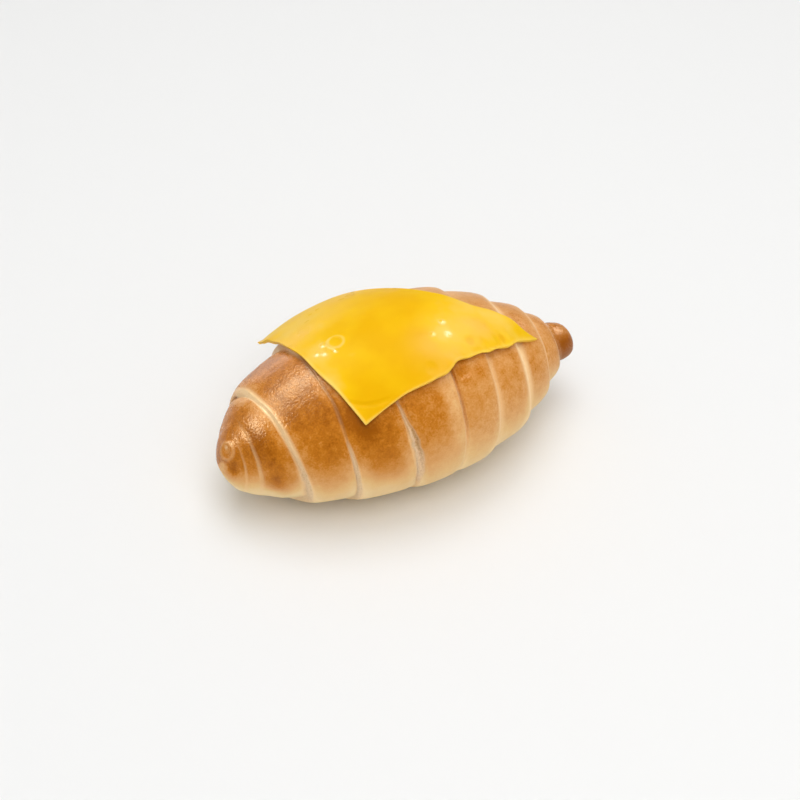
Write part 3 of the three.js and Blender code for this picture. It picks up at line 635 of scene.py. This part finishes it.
def cheeseMaterial(look, tonesAndPaintedLight, glints):
    material, tree, shader = newMaterial("processed_cheese", {
        "Sheen Weight": look["sheen"], "Sheen Roughness": look["sheenRough"],
        "Sheen Tint": linearColour(look["rim"]), "Subsurface Weight": look["scatter"],
        "Subsurface Radius": look["scatterReach"], "Subsurface Scale": look["scatterScale"] * mm,
    })
    add = partial(addNode, tree)
    place = add("ShaderNodeTexCoord").outputs["Object"]
    pattern = {}
    for name, detail in (("patch", 2.0), ("veil", 1.0)):
        feed = {"Vector": place, "Scale": 1 / (look[name + "Size"] * mm), "Detail": detail}
        pattern[name] = add("ShaderNodeTexNoise", feed)
    uneven = (pattern["patch"], look["patchShare"], pattern["veil"])
    mix = add("ShaderNodeMath", uneven, operation="MULTIPLY_ADD")
    tone = add("ShaderNodeMapRange", (mix, look["deepUnder"], look["lightOver"], 0.0, 1.0))
    stops = [(0.0, look["deep"]), (0.5, look["mid"]), (1.0, look["light"])]
    # the pale back slope, bubble ring and glint halos among these are painted sheen and highlights
    colour = add("ShaderNodeValToRGB", (addBumps(tree, place, tone, tonesAndPaintedLight),), stops=stops)
    # painted highlight: the thin cut edges are painted paler, where they catch the light
    rimHighlights = []
    for name, most, least in look["rimHighlights"]:
        run = add("ShaderNodeAttribute", attribute_name=name + "Run").outputs["Fac"]
        inside = add("ShaderNodeAttribute", attribute_name=name + "In").outputs["Fac"]
        share = add("ShaderNodeMapRange", (run, *look["rimHighlightRun"], most, least), **softly)
        rimHighlights.append(add("ShaderNodeMapRange", (inside, *look["rimHighlightWidth"], share, 0.0), **softly))
    rim = add("ShaderNodeMath", tuple(rimHighlights), operation="MAXIMUM")
    rimHighlighted = add("ShaderNodeMix", {0: rim, 6: colour, 7: linearColour(look["rim"])}, data_type="RGBA")
    tree.links.new(rimHighlighted.outputs[2], shader.inputs["Base Color"])
    melted = addBumps(tree, place, 0.0, glints)
    span = [look["rough"] + shift for shift in look["roughUneven"]]
    satin = add("ShaderNodeMapRange", (pattern["patch"], *look["satinRun"], *span))
    rough = add("ShaderNodeMath", (melted, look["meltedRough"], satin), operation="MULTIPLY_ADD")
    tree.links.new(rough.outputs[0], shader.inputs["Roughness"])
    gloss = add("ShaderNodeMath", (melted, look["meltedGloss"], look["gloss"]), operation="MULTIPLY_ADD")
    tree.links.new(gloss.outputs[0], shader.inputs["Specular IOR Level"])
    return material


def sliceSheet(settings):  # the slice's solid as one mesh, marked along and in from its sides
    skin = settings["skin"]
    rimAngle = math.radians(settings["sizes"]["Rim Angle"])
    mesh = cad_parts["cheese_slice"].data.copy()
    mesh.name = "cheese_slice_sheet"
    mesh.materials.clear()
    shape = bmesh.new()
    shape.from_mesh(mesh)
    bmesh.ops.remove_doubles(shape, verts=shape.verts, dist=skin["merge"] * mm)
    diagonals = []
    for edge in shape.edges:
        if all(edge == max(face.edges, key=lambda side: side.calc_length()) for face in edge.link_faces):
            diagonals.append(edge)
    bmesh.ops.dissolve_edges(shape, edges=diagonals)
    sharp = [edge for edge in shape.edges if edge.calc_face_angle() > rimAngle]
    rim = {vertex for edge in sharp for vertex in edge.verts}
    flat = [vertex for vertex in shape.verts if vertex not in rim]
    axes = {"use_axis_x": True, "use_axis_y": True, "use_axis_z": True}
    for _ in range(skin["evenRounds"]):  # evens the sheet out where it leaves the crust
        bmesh.ops.smooth_vert(shape, verts=flat, factor=skin["evenShare"], **axes)
    shape.to_mesh(mesh)
    shape.free()
    for name, side in settings["sides"].items():
        start = Vector(side["from"])
        chord = Vector(side["to"]) - start
        length = chord.length
        outward = Vector(side["out"][:2])
        runs, depths = [], []
        for vertex in mesh.vertices:
            spot = vertex.co.xy / mm - start
            run = spot.dot(chord) / length
            runs.append(run)
            depths.append(max(side["bow"] * (1 - (2 * run / length - 1) ** 2) - spot.dot(outward), 0.0))
        mesh.attributes.new(name + "Run", "FLOAT", "POINT").data.foreach_set("value", runs)
        mesh.attributes.new(name + "In", "FLOAT", "POINT").data.foreach_set("value", depths)
    print("slice sheet:", len(mesh.polygons), "faces")
    return mesh


def sliceTree(settings, material):  # rounds the sheet off, then works its skin and its edges
    tree = newTree("soften_slice", settings["sizes"], "Geometry")
    add = partial(addNode, tree)
    skin, sides, tip = settings["skin"], settings["sides"], settings["tip"]
    given = add("NodeGroupInput").outputs
    read = {}
    for name in [side + mark for side in sides for mark in ("Run", "In")]:
        read[name] = add("GeometryNodeInputNamedAttribute", {"Name": name}, data_type="FLOAT").outputs[0]
    turn = add("GeometryNodeInputMeshEdgeAngle")
    limit = add("ShaderNodeMath", (given["Rim Angle"],), operation="RADIANS")
    rim = add("ShaderNodeMath", (turn, limit), operation="GREATER_THAN")
    crease = add("ShaderNodeMath", (rim, given["Rim Crease"]), operation="MULTIPLY")
    rounds = add("FunctionNodeFloatToInt", (given["Rounds"],))
    feed = {"Mesh": given["Geometry"], "Level": rounds, "Edge Crease": crease}
    fine = add("GeometryNodeSubdivisionSurface", feed)
    here = add("GeometryNodeInputPosition")
    normal = add("GeometryNodeInputNormal")
    # waves and bubbles on the upper face
    upward = add("ShaderNodeSeparateXYZ", (normal,)).outputs["Z"]
    topSide = add("ShaderNodeMapRange", (upward, skin["topFrom"], skin["topTo"], 0.0, 1.0), **softly)
    uneven = softRelief(tree, here, given, "Wave")
    towardsBack = add("ShaderNodeSeparateXYZ", (here,)).outputs["Y"]
    span = (skin["wavesFrom"] * mm, skin["wavesTo"] * mm, given["Wave Height"], 0.0)
    onTop = add("ShaderNodeMapRange", (towardsBack, *span), **softly)
    waves = add("ShaderNodeMath", (uneven, onTop), operation="MULTIPLY")
    bubbled = addBumps(tree, here, waves, settings["bumps"])
    spans = {}
    for name in ("place", "round"):
        away = {0: here, 1: Vector(tip[name]) * mm}
        spans[name] = add("ShaderNodeVectorMath", away, operation="DISTANCE").outputs["Value"]
    pastCrease = add("ShaderNodeMath", (spans["round"], tip["radius"] * mm), operation="SUBTRACT")
    offCrease = add("ShaderNodeMath", (pastCrease,), operation="ABSOLUTE")
    sag = add("ShaderNodeMapRange", (offCrease, 0.0, tip["half"] * mm, tip["depth"], 0.0), **softly)
    span = (tip["fullShare"] * tip["reach"] * mm, tip["reach"] * mm, 1.0, 0.0)
    nearTip = add("ShaderNodeMapRange", (spans["place"], *span), **softly)
    dent = add("ShaderNodeMath", (sag, nearTip), operation="MULTIPLY")
    height = add("ShaderNodeMath", (bubbled, dent), operation="SUBTRACT")
    raised = add("ShaderNodeMath", (height, topSide), operation="MULTIPLY")
    shift = add("ShaderNodeVectorMath", {0: normal, "Scale": raised}, operation="SCALE")
    # bows, notches and lifts along the edges, then the corners
    moves = []
    for name, place, half, reach, outward, lift in settings["hems"]:
        fromPlace = add("ShaderNodeMath", (read[name + "Run"], place), operation="SUBTRACT")
        off = add("ShaderNodeMath", (fromPlace,), operation="ABSOLUTE")
        beside = add("ShaderNodeMapRange", (off, 0.0, half, 1.0, 0.0), **softly)
        inside = add("ShaderNodeMapRange", (read[name + "In"], 0.0, reach, 1.0, 0.0), **softly)
        weight = add("ShaderNodeMath", (beside, inside), operation="MULTIPLY")
        moves.append((Vector(sides[name]["out"]) * outward + Vector((0, 0, lift)), weight))
    for corner, reach, way in settings["corners"]:
        away = {0: here, 1: Vector(corner) * mm}
        off = add("ShaderNodeVectorMath", away, operation="DISTANCE").outputs["Value"]
        moves.append((way, add("ShaderNodeMapRange", (off, 0.0, reach * mm, 1.0, 0.0), **softly)))
    for way, weight in moves:
        move = add("ShaderNodeVectorMath", {0: way, "Scale": weight}, operation="SCALE")
        shift = add("ShaderNodeVectorMath", (shift, move), operation="ADD")
    # fine crinkles along the right part of the front edge
    run = read["frontRun"]
    beats = add("ShaderNodeMath", (run, given["Crinkle Size"]), operation="DIVIDE")
    crinkle = add("ShaderNodeTexNoise", {"W": beats, "Scale": 1.0, "Detail": 2.0}, noise_dimensions="1D")
    swing = add("ShaderNodeMath", (crinkle, 2.0, -1.0), operation="MULTIPLY_ADD")
    span = (given["Crinkle From"], given["Crinkle Full"], 0.0, 1.0)
    begun = add("ShaderNodeMapRange", (run, *span), **softly)
    span = (given["Crinkle Fade"], given["Crinkle To"], 1.0, 0.0)
    ended = add("ShaderNodeMapRange", (run, *span), **softly)
    span = (0.0, given["Crinkle Reach"], given["Crinkle Height"], 0.0)
    nearEdge = add("ShaderNodeMapRange", (read["frontIn"], *span), **softly)
    spread = add("ShaderNodeMath", (begun, ended), operation="MULTIPLY")
    share = add("ShaderNodeMath", (spread, nearEdge), operation="MULTIPLY")
    amount = add("ShaderNodeMath", (share, swing), operation="MULTIPLY")
    jog = add("ShaderNodeVectorMath", {0: skin["crinkleWay"], "Scale": amount}, operation="SCALE")
    moved = add("ShaderNodeVectorMath", (shift, jog), operation="ADD")
    push = add("ShaderNodeVectorMath", {0: moved, "Scale": mm}, operation="SCALE")
    worked = add("GeometryNodeSetPosition", {"Geometry": fine, "Offset": push})
    return closeTree(tree, worked, material)


cheese = cheeseMaterial(cheeseLook, sliceSettings["tonesAndPaintedLight"], sliceSettings["glints"])
cheeseSlice = addObject("cheese_slice_sheet", sliceSheet(sliceSettings))
makePlain(cheeseSlice, sliceTree(sliceSettings, cheese), sliceSettings["sizes"])
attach(cheeseSlice, "root")
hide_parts("cheese_slice")
print("cheese slice laid on")


# studio: pale floor, white surroundings, two soft boxes that light and five that mirror in the glaze
studio = {
    "floorSize": 4000.0, "floor": "#ebebea", "floorRough": 0.8, "surround": 0.53,
    "boxes": [  # place, size, power and whether it only mirrors in glossy skin or only lights
        ((130.0, 230.0, 1390.0), 1000.0, 8.2, False), ((-60.0, -680.0, 1180.0), 900.0, 6.2, False),
        ((-364.0, 700.0, 1160.0), 500.0, 25.0, True), ((950.0, 450.0, 920.0), 700.0, 16.0, True),
        ((-1000.0, 420.0, 880.0), 450.0, 29.0, True), ((588.0, 140.0, 1260.0), 500.0, 10.0, True),
        ((0.0, 1350.0, 260.0), 600.0, 4.0, True),
    ],
    "cameraPlace": (-205.23, -405.03, 435.23), "cameraAim": (11.08, 22.6, 0.0), "cameraRoll": -0.74,
    "sensor": 36.0, "lens": 72.0, "nearest": 10.0,
}


def paleFloor(look):
    half = look["floorSize"] * mm / 2
    corners = [(-half, -half, 0), (half, -half, 0), (half, half, 0), (-half, half, 0)]
    mesh = bpy.data.meshes.new("studio_floor")
    mesh.from_pydata(corners, [], [(0, 1, 2, 3)])
    paint = {"Base Color": linearColour(look["floor"]), "Roughness": look["floorRough"]}
    paint["Specular IOR Level"] = 0.0  # dull and even, mirrors nothing
    mesh.materials.append(newMaterial("matt_painted_board", paint)[0])
    floor = addObject("studio_floor", mesh)


def softLight(look):
    world = bpy.data.worlds.new("white_surround")
    bpy.context.scene.world = world
    world.use_nodes = True
    background = world.node_tree.nodes["Background"]
    background.inputs["Color"].default_value = (1.0, 1.0, 1.0, 1.0)
    background.inputs["Strength"].default_value = look["surround"]
    world.cycles_visibility.glossy = False  # only the soft boxes mirror in the glaze
    for spot, size, power, mirrors in look["boxes"]:
        lamp = bpy.data.lights.new("soft_box", "AREA")
        lamp.size = size * mm
        lamp.energy = power
        box = addObject("soft_box", lamp)
        place = Vector(spot) * mm
        box.location = place
        box.rotation_euler = (-place).to_track_quat("-Z", "Y").to_euler()
        box.visible_diffuse = not mirrors
        box.visible_glossy = mirrors


def photoCamera(look):
    place = Vector(look["cameraPlace"]) * mm
    forward = (Vector(look["cameraAim"]) * mm - place).normalized()
    right = forward.cross(Vector((0, 0, 1))).normalized()
    up = right.cross(forward)
    turn = math.radians(look["cameraRoll"])
    rolledRight = right * math.cos(turn) + up * math.sin(turn)
    rolledUp = up * math.cos(turn) - right * math.sin(turn)
    data = bpy.data.cameras.new("photo_camera")
    data.sensor_width = look["sensor"]
    data.lens = look["lens"]
    data.clip_start = look["nearest"] * mm
    camera = addObject("photo_camera", data)
    turned = Matrix((rolledRight, rolledUp, -forward)).transposed().to_4x4()
    camera.matrix_world = Matrix.Translation(place) @ turned
    bpy.context.scene.camera = camera


paleFloor(studio)
softLight(studio)
photoCamera(studio)
bpy.context.scene.view_settings.view_transform = "Standard"
print("studio set")

bpy.context.view_layer.update()
